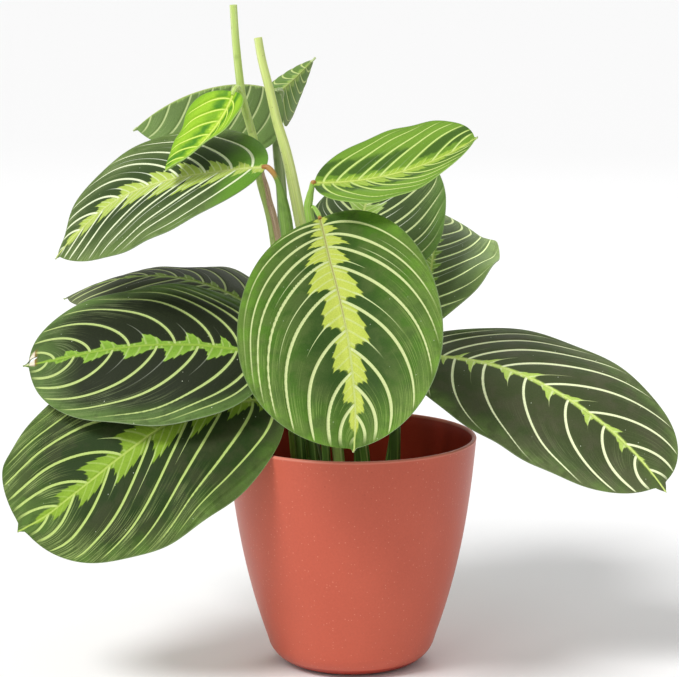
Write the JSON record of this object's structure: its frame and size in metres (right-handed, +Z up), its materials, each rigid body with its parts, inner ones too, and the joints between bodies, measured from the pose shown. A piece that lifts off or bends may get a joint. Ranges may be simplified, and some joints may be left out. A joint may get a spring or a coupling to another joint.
{
  "type": "potted prayer plant",
  "caption": "House plant with broad oval feathered and striped blades on slim stems, rooted in soil in a tapered round pot that stands on a flat underside.",
  "frame": {"origin": "centre of the pot's flat underside, on the surface it stands on", "axes": "+Z up along the pot's axis; -Y towards the viewer, the side the front blade hangs over; +X to the viewer's right"},
  "size_m": [0.3418, 0.2636, 0.3421],
  "materials": {
    "pot_plastic": "moulded terracotta-red plastic with pale flecks, satin",
    "soil": "dark crumbly peat mix with bark bits",
    "leaf_green": "mid-green blade with lime feathering and pale veins, satin",
    "leaf_grey": "grey-green blade with lime feathering and pale veins, satin",
    "leaf_dark": "dark olive blade with a narrow lime band and pale veins, satin",
    "leaf_young": "bright lime-green young blade with pale veins, satin",
    "stem_green": "smooth green stem, brownish at the joint below the blade",
    "stem_pale": "smooth pale yellow-green stalk with a cut end",
    "sheath_dry": "papery dry brown sheath"
  },
  "bodies": {
    "root": {"pot": "pot_plastic", "soil": "soil", "stem_front": "stem_green", "stem_upper_left": "stem_green", "stem_stalk_left": "stem_pale", "stem_stalk_right": "stem_pale", "stem_back_left": "stem_green", "stem_left": "stem_green", "stem_lower_left": "stem_green", "stem_back_low": "stem_green", "stem_right": "stem_green", "stem_behind": "stem_green", "stem_far_right": "stem_green", "blade_front": "leaf_green", "blade_lower_left": "leaf_green", "blade_upper_left": "leaf_grey", "blade_back_left": "leaf_grey", "blade_behind": "leaf_grey", "blade_far_right": "leaf_grey", "blade_young": "leaf_young", "blade_upper_right": "leaf_young", "blade_back_tip": "leaf_young", "blade_right": "leaf_dark", "blade_left": "leaf_dark", "blade_back_low": "leaf_dark", "dry_sheath": "sheath_dry"}
  },
  "joints": []
}
